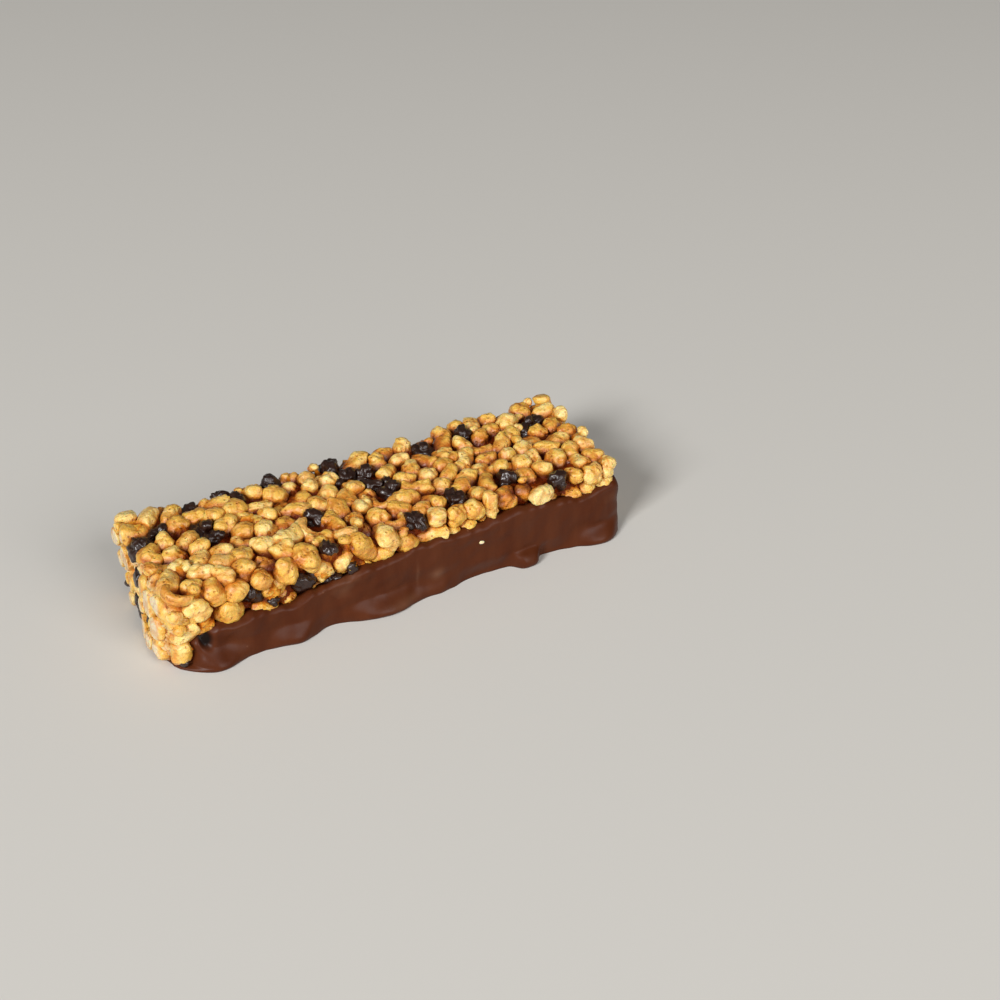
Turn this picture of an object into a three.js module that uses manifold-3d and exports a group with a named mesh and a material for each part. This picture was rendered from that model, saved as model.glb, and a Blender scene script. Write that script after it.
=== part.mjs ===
// A cereal meal bar: a pressed slab of puffed grain and dark chocolate chunks, dipped in milk chocolate.
// Millimetres, +Z up. X runs along the bar, Y across it, and the origin is the middle of the underside.
import * as THREE from "three";
import { RoundedBoxGeometry } from "three/addons/geometries/RoundedBoxGeometry.js";
import { mergeVertices } from "three/addons/utils/BufferGeometryUtils.js";
import Module from "manifold-3d";

// Driving dimensions of the whole bar.
const BAR_LENGTH = 112; // over the puffs at both cut ends, without the left end's swell
const BAR_WIDTH = 38.5; // over the chocolate's side walls, above the foot
const BAR_HEIGHT = 20;

// The left end swells out: how far, and where across the bar; it fades upwards and along the bar.
const SWELL = { reach: 2.3, at: -8, half: 9, fade: 0.7, from: -36 };
const MIDDLE_SHIFT = 1; // moves the bar along, so that the origin is its middle with the swell

// Milk chocolate coat: a base and two side walls, open at the cut ends and on top.
const COAT_LENGTH = 111.4;
const COAT_BASE = 1.5; // thickness under the slab
const COAT_WALL = 1.6; // thickness beside the slab
const EDGE_HEIGHT = 12.1; // mean height of the walls' upper edge
const EDGE_RISE = 2.8; // the bar was dipped at a slant: lower by this at -X, higher at +X
const EDGE_RIPPLES = [
  { height: 0.7, length: 60, start: -0.22 },
  { height: 0.45, length: 19, start: 0.3 },
];
const BACK_SHIFT = 0.37; // the back's ripples run this share of a wave ahead of the front's
const END_SLANT = { left: 7.8, right: 0.8 }; // the walls' ends lean back, so the slab's corners are bare
const SLANT_CURVE = 0.6; // power of the lean: most of it is near the bottom
const LIP = 0.5; // rounding of the upper edge

// The foot: set chocolate that ran down and pooled along the bottom of the walls, in lobes.
const FOOT_HEIGHT = 4.6;
const FOOT_LEVELS = [0.2, 0.45, 0.7, 1]; // shares of that height where its section has a point
const FOOT_TUCK = 0.25; // share of its reach that the foot loses again at the very bottom
const FOOT_DRAW_IN = 1.2; // between lobes the bottom edge draws in by this much
const FOOT_LOBES = [
  { at: -45.6, reach: 3.9, half: 7 },
  { at: -29.3, reach: 4, half: 5.8 },
  { at: -7.7, reach: 4.9, half: 9 },
  { at: 7.2, reach: 1.8, half: 6.4 },
  { at: 29.5, reach: 3.4, half: 3.3 },
  { at: 49.1, reach: 4.4, half: 6.8 },
];
const BASE_PLACES = [-0.75, -0.42, -0.1, 0.3]; // shares across the base where its section has a point
const COAT_STEPS = 40; // stations along the bar

// The cereal: puffs packed in the slab, pressed level at the top, the sides and the cut ends.
const SIDE_SET_IN = 0.5; // the slab's sides lie this far behind the chocolate's
const SLAB_ROUND = 1.5; // rounding of the slab's top edges and corners, besides the puffs' own
const PUFF_COUNT = 660;
const PUFF_RADIUS = { least: 2.2, most: 3.0 };
const PUFF_SINK = 1.0; // the deepest that an outer puff stays below the pressed face
const PUFF_LONG = 1.32; // length of a long puff over that of a round one
const LONG_SHARE = 0.45; // share of the puffs that are long
const CHUNK_SIZE = 1.12; // a chocolate chunk's size over a puff's
const CHUNK_SHARE = 0.13; // share of chunks away from the spots below
const CORE_INSET = 2.2; // the core lies this far inside the pressed faces
const CORE_ROUND = 2;
const FILL_DROP = 1; // the cereal that fills the trough stays this far below the walls' edge
const FILL_ROUND = 0.6;
const SHOW_DEPTH = 0.95; // a puff whose skin lies deeper than this isn't seen

// Spots on the top face where chunks lie together: place along and across the bar.
const CHUNK_SPOTS = [
  [-45.9, 10.2], [-35.8, 4.3], [-53.2, 5.2], [-25.7, 17.6], [-16, 17.8], [-6.1, 13.9],
  [3.3, 3.2], [15.5, 10.2], [-14.8, -3.8], [-12.3, -16.6], [-20.9, -14], [-0.3, -16.2],
  [18.1, -12.6], [27.5, -14.7], [38.5, -17], [45.3, 8.3], [31, 12.6],
];
const SPOT_RADIUS = 3.6;

// Fits and facets.
const FIT_GAP = 0.3; // between slab and chocolate
const PUFF_SIDES = 6;
const PUFF_RINGS = 4;
const FACET_SWELL = 1.07; // makes a ball of few sides as large as the round one
const SETTLE_STEPS = 120;
const SETTLE_SHARE = 0.35; // share of an overlap that one step takes away
const SMALLEST_EDGE = 0.02; // shorter edges that a cut leaves are closed up
const MERGE_DISTANCE = 1e-4;

const TURN = 2 * Math.PI;
const HALF_LENGTH = BAR_LENGTH / 2;
const CORE_LENGTH = BAR_LENGTH - 2 * CORE_INSET;
const SLAB_FLOOR = COAT_BASE + FIT_GAP;
const SLAB_HALF_WIDTH = BAR_WIDTH / 2 - SIDE_SET_IN;

const wasm = await Module();
wasm.setup();

// A repeatable draw from 0 to 1 for item n: its number and a channel are mixed as 32-bit integers.
function draw(n, channel) {
  let mixed = Math.imul(n + 1, 0x9e3779b1) ^ Math.imul(channel + 1, 0x85ebca77);
  mixed = Math.imul(mixed ^ (mixed >>> 15), 0x2c1b3c6d);
  mixed = Math.imul(mixed ^ (mixed >>> 12), 0x297a2d39);
  return ((mixed ^ (mixed >>> 15)) >>> 0) / 2 ** 32;
}

const clamp = (value, low, high) => Math.min(Math.max(value, low), high);

// A three.js geometry as a solid that can be joined and cut.
function solidFrom(geometry) {
  const bare = new THREE.BufferGeometry();
  bare.setAttribute("position", geometry.getAttribute("position"));
  bare.setIndex(geometry.index);
  const merged = mergeVertices(bare, MERGE_DISTANCE);
  return new wasm.Manifold(
    new wasm.Mesh({
      numProp: 3,
      vertProperties: merged.attributes.position.array,
      triVerts: new Uint32Array(merged.index.array),
    }),
  );
}

// A solid's triangles as a three.js geometry.
function geometryFrom(solid) {
  const { vertProperties, triVerts } = solid.getMesh();
  const geometry = new THREE.BufferGeometry();
  geometry.setAttribute("position", new THREE.BufferAttribute(vertProperties, 3));
  geometry.setIndex(new THREE.BufferAttribute(triVerts, 1));
  geometry.computeVertexNormals();
  return geometry;
}

// Where a point of the plain bar lies along X: the left end swells, and all of it is moved along.
function lieAt(x, y, z) {
  const share = clamp((SWELL.from - x) / (SWELL.from + HALF_LENGTH), 0, 1);
  const level = 1 - SWELL.fade * clamp(z / BAR_HEIGHT, 0, 1);
  const across = Math.exp(-(((y - SWELL.at) / SWELL.half) ** 2));
  return x + MIDDLE_SHIFT - SWELL.reach * share * level * across;
}

// All points of a geometry, laid where they lie.
function layDown(geometry) {
  const position = geometry.getAttribute("position");
  for (let i = 0; i < position.count; i++) {
    position.setX(i, lieAt(position.getX(i), position.getY(i), position.getZ(i)));
  }
  return geometry;
}

// Milk chocolate coat

// How much higher the walls stand at x than in the middle.
const edgeLean = (x) => (EDGE_RISE * x) / HALF_LENGTH;

// How far the walls' end at x leans back at a height.
function slantAt(x, z) {
  return (x < 0 ? END_SLANT.left : END_SLANT.right) * (z / EDGE_HEIGHT) ** SLANT_CURVE;
}

// Height of the walls' upper edge at x, on the side that y is on.
function edgeHeight(x, y) {
  const shift = y < 0 ? 0 : BACK_SHIFT;
  const ripple = EDGE_RIPPLES.reduce(
    (sum, { height, length, start }) => sum + height * Math.sin(TURN * (x / length + start + shift)),
    0,
  );
  return EDGE_HEIGHT + edgeLean(x) + ripple;
}

// How far the foot reaches past the wall at x. The back's lobes are the front's, turned end for end.
function footReach(x, y) {
  const along = y < 0 ? x : -x;
  return FOOT_LOBES.reduce(
    (sum, { at, reach, half }) => sum + reach * Math.exp(-(((along - at) / half) ** 2)),
    -FOOT_DRAW_IN,
  );
}

// The coat's section across the bar, grown by a gap where it faces the slab.
function coatSection(grow) {
  const outer = BAR_WIDTH / 2;
  const inner = outer - COAT_WALL - grow;
  const top = EDGE_HEIGHT + grow;
  const floor = COAT_BASE + grow;
  const section = new THREE.Shape();
  section.moveTo(-outer, 0);
  BASE_PLACES.forEach((share) => section.lineTo(outer * share, 0));
  section.lineTo(outer, 0);
  FOOT_LEVELS.forEach((share) => section.lineTo(outer, FOOT_HEIGHT * share));
  section.lineTo(outer, top - LIP);
  section.lineTo(outer - LIP / 2, top);
  section.lineTo(inner, top);
  section.lineTo(inner, floor);
  BASE_PLACES.toReversed().forEach((share) => section.lineTo(inner * share, floor));
  section.lineTo(-inner, floor);
  section.lineTo(-inner, top);
  section.lineTo(-outer + LIP / 2, top);
  section.lineTo(-outer, top - LIP);
  FOOT_LEVELS.toReversed().forEach((share) => section.lineTo(-outer, FOOT_HEIGHT * share));
  return section;
}

// The coat: its section carried along the bar, then the edge rippled, the ends slanted and the foot run out.
function coatSolid(grow) {
  const length = COAT_LENGTH + 2 * grow;
  const geometry = new THREE.ExtrudeGeometry(coatSection(grow), {
    depth: length,
    steps: COAT_STEPS,
    bevelEnabled: false,
  });
  const position = geometry.getAttribute("position");
  for (let i = 0; i < position.count; i++) {
    // The section lies in X and Y and is carried along Z; here those become Y, Z and X.
    const y = position.getX(i);
    const z = position.getY(i);
    const along = position.getZ(i) - length / 2;
    const x = along * (1 - slantAt(along, z) / (length / 2));
    const above = clamp((z - FOOT_HEIGHT) / (EDGE_HEIGHT - FOOT_HEIGHT), 0, 1);
    const lift = above * (edgeHeight(x, y) - EDGE_HEIGHT);
    const isOuter = Math.abs(y) > BAR_WIDTH / 2 - LIP;
    const low = clamp(1 - z / FOOT_HEIGHT, 0, 1);
    const swell = isOuter ? footReach(x, y) * low * (2 - low) * (1 - FOOT_TUCK * low ** 6) : 0;
    position.setXYZ(i, x, y + Math.sign(y) * swell, z + lift);
  }
  return solidFrom(layDown(geometry));
}

// Cereal slab

// Where a puff may lie: its middle stays in a box with round edges, inside the pressed faces by its
// radius and its own sink.
function keepInSlab({ place, radius, sink }) {
  const inset = radius + sink + SLAB_ROUND;
  const reachX = HALF_LENGTH - inset;
  const reachY = SLAB_HALF_WIDTH - inset;
  const lowest = SLAB_FLOOR + radius;
  const inner = new THREE.Vector3(
    clamp(place.x, -reachX, reachX),
    clamp(place.y, -reachY, reachY),
    clamp(place.z, lowest, BAR_HEIGHT - inset),
  );
  place.sub(inner).clampLength(0, SLAB_ROUND).add(inner);
  place.z = Math.max(place.z, lowest);
}

// Puffs dropped anywhere in the slab, then pushed apart until they lie packed side by side.
function packPuffs() {
  const spread = PUFF_RADIUS.most - PUFF_RADIUS.least;
  const puffs = Array.from({ length: PUFF_COUNT }, (_, n) => ({
    n,
    radius: PUFF_RADIUS.least + spread * draw(n, 0),
    sink: PUFF_SINK * draw(n, 1) ** 2,
    place: new THREE.Vector3(
      BAR_LENGTH * (draw(n, 2) - 0.5),
      2 * SLAB_HALF_WIDTH * (draw(n, 3) - 0.5),
      SLAB_FLOOR + (BAR_HEIGHT - SLAB_FLOOR) * draw(n, 4),
    ),
  }));
  for (let step = 0; step < SETTLE_STEPS; step++) {
    const pushes = puffs.map(() => new THREE.Vector3());
    puffs.forEach((a, i) => {
      for (let j = 0; j < i; j++) {
        const b = puffs[j];
        const apart = a.place.clone().sub(b.place);
        const distance = apart.length();
        const overlap = a.radius + b.radius - distance;
        if (overlap <= 0) continue;
        apart.multiplyScalar((SETTLE_SHARE * overlap) / distance);
        pushes[i].add(apart);
        pushes[j].sub(apart);
      }
    });
    puffs.forEach((puff, i) => {
      puff.place.add(pushes[i]);
      keepInSlab(puff);
    });
  }
  return puffs;
}

// How far the puff's skin lies below the nearest bare face, and that face's outward direction.
function nearestFace({ place, radius }) {
  const faces = [
    { depth: BAR_HEIGHT - place.z, out: new THREE.Vector3(0, 0, 1) },
    { depth: HALF_LENGTH - Math.abs(place.x), out: new THREE.Vector3(Math.sign(place.x), 0, 0) },
  ];
  const pastCoat = Math.abs(place.x) + radius > COAT_LENGTH / 2 - slantAt(place.x, place.z);
  if (place.z + radius > edgeHeight(place.x, place.y) || pastCoat) {
    const out = new THREE.Vector3(0, Math.sign(place.y), 0);
    faces.push({ depth: SLAB_HALF_WIDTH - Math.abs(place.y), out });
  }
  const nearest = faces.reduce((a, b) => (b.depth < a.depth ? b : a));
  return { depth: nearest.depth - radius, out: nearest.out };
}

// A chocolate chunk lies at a spot on the top face, or is drawn anywhere else.
function isChunk({ n, place }, out) {
  const onTop = out.z > 0;
  const inSpot = CHUNK_SPOTS.some(([x, y]) => Math.hypot(place.x - x, place.y - y) < SPOT_RADIUS);
  return onTop ? inSpot : draw(n, 5) < CHUNK_SHARE;
}

// A puff as a ball of few sides, or a chunk as a twelve-sided lump, pressed flat against its face.
function pieceSolid(puff, out) {
  const chunk = isChunk(puff, out);
  const long = !chunk && draw(puff.n, 6) < LONG_SHARE ? PUFF_LONG : 1;
  const size = puff.radius * FACET_SWELL * (chunk ? CHUNK_SIZE : 1);
  const geometry = chunk
    ? new THREE.DodecahedronGeometry(1)
    : new THREE.SphereGeometry(1, PUFF_SIDES, PUFF_RINGS);
  const spin = new THREE.Quaternion().setFromAxisAngle(out, TURN * draw(puff.n, 7));
  const stand = new THREE.Quaternion().setFromUnitVectors(new THREE.Vector3(0, 0, 1), out);
  const half = new THREE.Vector3(size * long, size / Math.sqrt(long), size / Math.sqrt(long));
  const { x, y, z } = puff.place;
  const place = new THREE.Vector3(lieAt(x, y, z), y, z);
  geometry.applyMatrix4(new THREE.Matrix4().compose(place, spin.multiply(stand), half));
  return solidFrom(geometry);
}

// A block of cereal on the slab's floor.
function blockGeometry(length, width, top, round) {
  const height = top - SLAB_FLOOR;
  const geometry = new RoundedBoxGeometry(length, width, height, 1, round);
  return geometry.translate(0, 0, SLAB_FLOOR + height / 2);
}

// The core that the outer puffs stand on.
function coreSolid() {
  const width = 2 * (SLAB_HALF_WIDTH - CORE_INSET);
  const top = BAR_HEIGHT - CORE_INSET;
  return solidFrom(layDown(blockGeometry(CORE_LENGTH, width, top, CORE_ROUND)));
}

// The cereal that fills the chocolate's trough from wall to wall; its top leans as the walls' edge does.
function fillerSolid() {
  const top = EDGE_HEIGHT - FILL_DROP;
  const geometry = blockGeometry(CORE_LENGTH, BAR_WIDTH - 2 * COAT_WALL, top, FILL_ROUND);
  const position = geometry.getAttribute("position");
  for (let i = 0; i < position.count; i++) {
    const share = (position.getZ(i) - SLAB_FLOOR) / (top - SLAB_FLOOR);
    position.setZ(i, position.getZ(i) + share * edgeLean(position.getX(i)));
  }
  return solidFrom(layDown(geometry));
}

// The slab: core and outer puffs joined, cut clear of the chocolate, with no sealed hollow and no scrap.
function slabSolid() {
  const showing = packPuffs()
    .map((puff) => ({ puff, ...nearestFace(puff) }))
    .filter(({ depth }) => depth < SHOW_DEPTH);
  const pieces = showing.map(({ puff, out }) => pieceSolid(puff, out));
  const joined = wasm.Manifold.union([coreSolid(), fillerSolid(), ...pieces]);
  const cut = joined.subtract(coatSolid(FIT_GAP)).simplify(SMALLEST_EDGE);
  return cut.decompose().reduce((a, b) => (b.volume() > a.volume() ? b : a));
}

// The bar

const cereal = new THREE.Mesh(
  geometryFrom(slabSolid()),
  new THREE.MeshStandardMaterial({ color: 0xc98f44, roughness: 0.5, metalness: 0, flatShading: true }),
);
cereal.name = "cereal_slab";

const coat = new THREE.Mesh(
  geometryFrom(coatSolid(0)),
  new THREE.MeshStandardMaterial({ color: 0x6a3a24, roughness: 0.42, metalness: 0 }),
);
coat.name = "chocolate_coat";

const bar = new THREE.Group();
bar.add(coat, cereal);

export default bar;
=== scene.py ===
import math

import bpy
import numpy as np
from mathutils import Matrix, Vector


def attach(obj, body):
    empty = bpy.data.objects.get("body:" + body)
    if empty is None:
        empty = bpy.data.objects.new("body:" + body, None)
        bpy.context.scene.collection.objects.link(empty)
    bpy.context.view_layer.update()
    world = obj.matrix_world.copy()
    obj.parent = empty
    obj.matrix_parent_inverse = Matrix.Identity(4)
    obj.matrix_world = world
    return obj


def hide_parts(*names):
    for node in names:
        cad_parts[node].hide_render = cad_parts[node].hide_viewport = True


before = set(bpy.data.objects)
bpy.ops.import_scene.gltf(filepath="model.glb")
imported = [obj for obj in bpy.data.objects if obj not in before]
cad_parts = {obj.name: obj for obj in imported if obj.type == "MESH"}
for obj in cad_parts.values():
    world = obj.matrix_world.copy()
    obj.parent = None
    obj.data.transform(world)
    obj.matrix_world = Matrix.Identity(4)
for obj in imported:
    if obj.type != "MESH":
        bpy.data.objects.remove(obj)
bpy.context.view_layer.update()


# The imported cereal: puffed grain tumbled with warm syrup and chocolate chunks, rolled into a slab and
# cut. Each piece starts as a ball, and the balls settle by the same rule as the solid's do, so every
# visible piece lies where the solid has it. Sizes are in millimetres, and meshes are put down in metres.
MM = 0.001
BAR_LENGTH = 112.0
BAR_WIDTH = 38.5
BAR_HEIGHT = 20.0
SLAB_INSET = 0.5
SLAB_HALF_WIDTH = BAR_WIDTH / 2 - SLAB_INSET
SLAB_FLOOR = 1.8
SLAB_ROUND = 1.5
PUFF_COUNT = 660
PUFF_RADIUS = (2.2, 3.0)
PUFF_SINK = 1.0
SETTLE_STEPS = 120
SETTLE_SHARE = 0.35
FAR_APART = 1e3
TINY = 1e-9
HASH_FACTORS = (0x9E3779B1, 0x85EBCA77, 0x2C1B3C6D, 0x297A2D39)
HASH_SHIFTS = (15, 12, 15)
HASH_SPAN = 2**32
DRAW_RADIUS = 0
DRAW_SINK = 1
DRAW_PLACE = 2


def draw(numbers, channel):
    """Repeatable draws from 0 to 1: a piece's number and a channel are mixed as 32-bit integers, by
    products and shifts, and divided by the integers' span."""
    for_number, for_channel, *factors = HASH_FACTORS
    mixed = (numbers + 1).astype(np.uint32) * np.uint32(for_number)
    mixed = mixed ^ np.uint32((channel + 1) * for_channel % HASH_SPAN)
    for factor, shift in zip(factors, HASH_SHIFTS):
        mixed = (mixed ^ (mixed >> np.uint32(shift))) * np.uint32(factor)
    return (mixed ^ (mixed >> np.uint32(HASH_SHIFTS[-1]))) / float(HASH_SPAN)


def at_share(ends, share):
    """A value between two ends: the first, and a share of the way to the second."""
    return ends[0] + (ends[1] - ends[0]) * share


def drop(numbers):
    """Seeded places anywhere in the slab: an even draw along each of its three sides."""
    along, across, up = (draw(numbers, DRAW_PLACE + axis) for axis in range(3))
    x = BAR_LENGTH * (along - 0.5)
    y = 2 * SLAB_HALF_WIDTH * (across - 0.5)
    return np.stack([x, y, SLAB_FLOOR + (BAR_HEIGHT - SLAB_FLOOR) * up], axis=1)


def keep_in_slab(place, radius, sink):
    """Middles held in a box with round edges, inside the pressed faces by the ball's radius
    and its sink."""
    inset = (radius + sink + SLAB_ROUND)[:, None]
    lowest = (SLAB_FLOOR + radius)[:, None]
    reach = np.array([BAR_LENGTH / 2, SLAB_HALF_WIDTH]) - inset
    inner_z = np.clip(place[:, 2:], lowest, BAR_HEIGHT - inset)
    inner = np.hstack([np.clip(place[:, :2], -reach, reach), inner_z])
    offset = place - inner
    length = np.linalg.norm(offset, axis=1, keepdims=True)
    held = inner + offset * np.minimum(1, SLAB_ROUND / np.maximum(length, TINY))
    held[:, 2:] = np.maximum(held[:, 2:], lowest)
    return held


def settle(place, radius, sink):
    """Balls pushed apart: at each step a pair that overlaps parts along its line, by a share
    of the overlap."""
    touch = radius[:, None] + radius[None]
    for _ in range(SETTLE_STEPS):
        apart = place[:, None] - place[None]
        distance = np.sqrt((apart**2).sum(2)) + np.eye(len(place)) * FAR_APART
        push = SETTLE_SHARE * np.maximum(touch - distance, 0) / distance
        place = keep_in_slab(place + (push[..., None] * apart).sum(1), radius, sink)
    return place


grains = np.arange(PUFF_COUNT)
radius = at_share(PUFF_RADIUS, draw(grains, DRAW_RADIUS))
sink = PUFF_SINK * draw(grains, DRAW_SINK) ** 2
place = settle(drop(grains), radius, sink)

# Where the milk chocolate ends decides which pieces on the long sides stay bare. Its upper edge ripples
# and climbs to the right. Its left end steps back above the base and rounds off to the edge.
COAT_LENGTH = 111.4
EDGE_HEIGHT = 11.7
EDGE_RISE = 1.6
EDGE_RIPPLES = ((1.85, 140.0, 0.13), (0.55, 34.0, -0.49))
BACK_SHIFT = 0.37
END_SLANT = (7.8, 0.8)
SLANT_CURVE = 0.6
LEFT_INSET = 1.4
LEFT_STEP = 2.8
LEFT_STEP_HEIGHTS = (0.3, 1.6)
LEFT_ROUND = 5.0
LEFT_ROUND_HEIGHTS = (6.0, 13.5)
LEFT_ROUND_CURVE = 1.5
RIGHT_LEAN = 0.9
RIGHT_PAST = 0.5
UNDER_EDGE = (-0.1, 1.2)
UNDER_END = (-0.6, 1.0)


def between(value, low, high):
    """A smooth step from 0 at low to 1 at high: three times the share's square, less twice its cube."""
    share = np.clip((value - low) / (high - low), 0, 1)
    return share * share * (3 - 2 * share)


def edge_height(x, y):
    """Height of the chocolate's upper edge: a mean, a rise along the bar and two sine
    ripples, shifted at the back."""
    shift = np.where(y < 0, 0, BACK_SHIFT)
    rippled = sum(
        high * np.sin(2 * np.pi * (x / length + start + shift)) for high, length, start in EDGE_RIPPLES
    )
    return EDGE_HEIGHT + EDGE_RISE * x / (BAR_LENGTH / 2) + rippled


def slant_at(x, z):
    """How far the chocolate's end leans back at a height: a power of the height, and more at
    the left end."""
    return np.where(x < 0, *END_SLANT) * (np.maximum(z, 0) / EDGE_HEIGHT) ** SLANT_CURVE


def end_inset(x, z):
    """How far the coat's end stays behind the cut at a height: at the left a smooth step above the base
    and a power of another one up to the edge; at the right a straight lean."""
    step = LEFT_STEP * between(z, *LEFT_STEP_HEIGHTS)
    left = LEFT_INSET + step + LEFT_ROUND * between(z, *LEFT_ROUND_HEIGHTS) ** LEFT_ROUND_CURVE
    return np.where(x < 0, left, RIGHT_LEAN * z / EDGE_HEIGHT - RIGHT_PAST)


def under_coat(points):
    """How far points of the long sides lie under the coat: a smooth step below its edge times one inside
    its end, from 0 past the border to 1 well inside."""
    x, y, z = np.moveaxis(points, -1, 0)
    below_edge = between(edge_height(x, y) - z, *UNDER_EDGE)
    return below_edge * between(COAT_LENGTH / 2 - end_inset(x, z) - np.abs(x), *UNDER_END)


def bare_depths(points, reach):
    """Depths of points below the top, the nearer end and the nearer side. A side is infinitely far where
    chocolate covers all that is within reach."""
    x, y, z = np.moveaxis(points, -1, 0)
    past_coat = np.abs(x) + reach > COAT_LENGTH / 2 - slant_at(x, z)
    side_is_bare = (z + reach > edge_height(x, y)) | past_coat
    side = np.where(side_is_bare, SLAB_HALF_WIDTH - np.abs(y), np.inf)
    return np.stack([BAR_HEIGHT - z, BAR_LENGTH / 2 - np.abs(x), side], axis=-1)


# A few small chunks sit low on the front, by the chocolate's edge, each given by its middle and its
# radius. They are partly real chunks and partly dark pieces put in for the shadowed gaps along the edge.
# Broken bits fill the gaps between the puffs.
EDGE_CHUNKS_AND_SHADE = np.array([(-32.4, -17.6, 10.4, 1.2), (-14.0, -17.6, 13.0, 1.3), (-52.8, -17.2, 1.7, 1.2)])
BIT_TRIES = 16000
BIT_DEPTHS = (1.2, 4.0)
BIT_RADIUS = (0.85, 2.0)
BIT_SWELL = 1.2
TOP = 0
END = 1
SIDE = 2
FACE_AXES = np.array([2, 0, 1])


def fill_gaps(place, radius):
    """Balls for the gaps near the bare faces: of many seeded spots, the one with the most room gets a
    ball that just fits, again and again until no spot has room for the smallest."""
    spots = drop(np.arange(BIT_TRIES) + PUFF_COUNT)
    depth = bare_depths(spots, 0.0).min(axis=1)
    spots = spots[(depth > BIT_DEPTHS[0]) & (depth < BIT_DEPTHS[1])]
    apart = (spots**2).sum(1)[:, None] + (place**2).sum(1)[None] - 2 * spots @ place.T
    room = np.minimum((np.sqrt(np.maximum(apart, 0)) - radius[None]).min(axis=1), BIT_RADIUS[1])
    found = []
    while room.max() > BIT_RADIUS[0]:
        best = room.argmax()
        found.append((*spots[best], room[best]))
        room = np.minimum(room, np.linalg.norm(spots - spots[best], axis=1) - room[best])
    return np.array(found)


place = np.vstack([place, EDGE_CHUNKS_AND_SHADE[:, :3]])
radius = np.concatenate([radius, EDGE_CHUNKS_AND_SHADE[:, 3]])
bits = fill_gaps(place, radius)
place = np.vstack([place, bits[:, :3]])
radius = np.concatenate([radius, bits[:, 3] * BIT_SWELL])
number = np.arange(len(place))
depths = bare_depths(place, radius)
nearest = depths.argmin(axis=1)
skin_depth = depths.min(axis=1) - radius
outward = np.zeros_like(place)
outward[number, FACE_AXES[nearest]] = np.sign(place[number, FACE_AXES[nearest]])

# The kinds of piece. Chunks lie together at spots on the top, given along and across the bar, at spots on
# the front, along and up, and anywhere on the other faces. The dark chunks at the front spots are partly
# real chunks and partly stand in for shadowed gaps along the coat's edge. The puffs are long, curled,
# knobbly and round ones, and the left part has more of the long and the knobbly.
CHUNK_SPOTS = np.array(
    [
        (-46.6, 9.3), (-37.6, 5.8), (-36.6, 0.2), (-53.2, 5.0), (-39.9, 16.1), (-29.3, 14.0),
        (-18.7, 15.5), (-6.2, 15.2), (-3.8, 9.3), (4.0, 6.6), (3.5, 1.7), (15.5, 9.5), (-15.3, -4.1),
        (-17.0, -15.2), (-12.9, -17.4), (3.0, -15.5), (17.0, -12.8), (28.5, -10.5), (40.1, -15.6),
        (45.3, 8.3), (31.0, 12.6),
    ]
)
FRONT_CHUNK_AND_SHADE_SPOTS = np.array([(-38.5, 11.5), (-25.5, 11.5), (2.9, 14.8)])
SPOT_RADIUS = 3.1
FRONT_SPOT_RADIUS = 2.5
TOP_FROM = 14.0
CHUNK_SHARE = np.array([0.0, 0.28, 0.13])
NO_CHUNK_PAST = -9.0
DARK_BIT_SHARE = 0.2
DARK_BIT_DEPTH = 2.0
LOOSE_ALONG = (-15.0, 20.0)
LONG_SHARE = (0.32, 0.2)
KNOBBLY_SHARE = (0.65, 0.42)
CURLED_SHARE = 0.16
CURL_FROM_END = 6.0
CURL_WITHIN = 14.0
CURL_SPOTS = np.array([(-21.0, -9.0), (-9.8, -11.4), (-0.7, -12.9), (-53.0, -15.0)])
CREAM_SPOT = np.array([(35.2, -16.0)])
NEAR_SKIN = 1.0
SEEN_DEPTH = 1.3
DEEP_DEPTH = 5.0
EDGE_BARE = 1.5
EDGE_FROM_END = 8.0
PINCH_FROM = (49.0, 14.5)
DRAW_CHUNK = 5
DRAW_LONG = 6
DRAW_CURLED = 8
DRAW_KNOBBLY = 10


def spot_distances(points, spots):
    """Distances between flat points and flat spots, with a row for each point."""
    return np.linalg.norm(points[:, None] - spots[None], axis=2)


is_bit = number >= PUFF_COUNT
chance = draw(number, DRAW_CHUNK)
anywhere = (chance < CHUNK_SHARE[nearest]) & ~((nearest == END) & (place[:, 1] < NO_CHUNK_PAST))
at_spot = spot_distances(place[:, :2], CHUNK_SPOTS).min(axis=1) < SPOT_RADIUS
at_front_spot = spot_distances(place[:, ::2], FRONT_CHUNK_AND_SHADE_SPOTS).min(axis=1) < FRONT_SPOT_RADIUS
is_chunk = np.where(place[:, 2] > TOP_FROM, at_spot, anywhere)
# Dark pieces at the front spots: partly chunks, partly standing in for shadow along the coat's edge.
is_chunk = is_chunk | ((nearest == SIDE) & (place[:, 1] < 0) & at_front_spot)
is_dark_bit = (chance < DARK_BIT_SHARE) & (depths.min(axis=1) > DARK_BIT_DEPTH) & (nearest != END)
is_chunk = np.where(is_bit, is_dark_bit, is_chunk)
is_chunk[PUFF_COUNT : PUFF_COUNT + len(EDGE_CHUNKS_AND_SHADE)] = True
loose = between(place[:, 0], *LOOSE_ALONG)
is_long = ~is_chunk & (draw(number, DRAW_LONG) < at_share(LONG_SHARE, loose))
may_curl = (depths[:, END] > CURL_FROM_END) & (np.abs(place[:, 1]) < CURL_WITHIN)
is_curled = is_long & (draw(number, DRAW_CURLED) < CURLED_SHARE) & may_curl
on_top = number[(nearest == TOP) & (skin_depth < NEAR_SKIN) & ~is_bit]
is_curled[on_top[spot_distances(place[on_top, :2], CURL_SPOTS).argmin(axis=0)]] = True
upper = number[(place[:, 2] > TOP_FROM) & (skin_depth < NEAR_SKIN) & ~is_bit]
cream = upper[spot_distances(place[upper, :2], CREAM_SPOT).argmin()]
is_chunk = is_chunk & ~is_curled & (number != cream)
is_long = is_long | is_curled | (number == cream)
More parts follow.
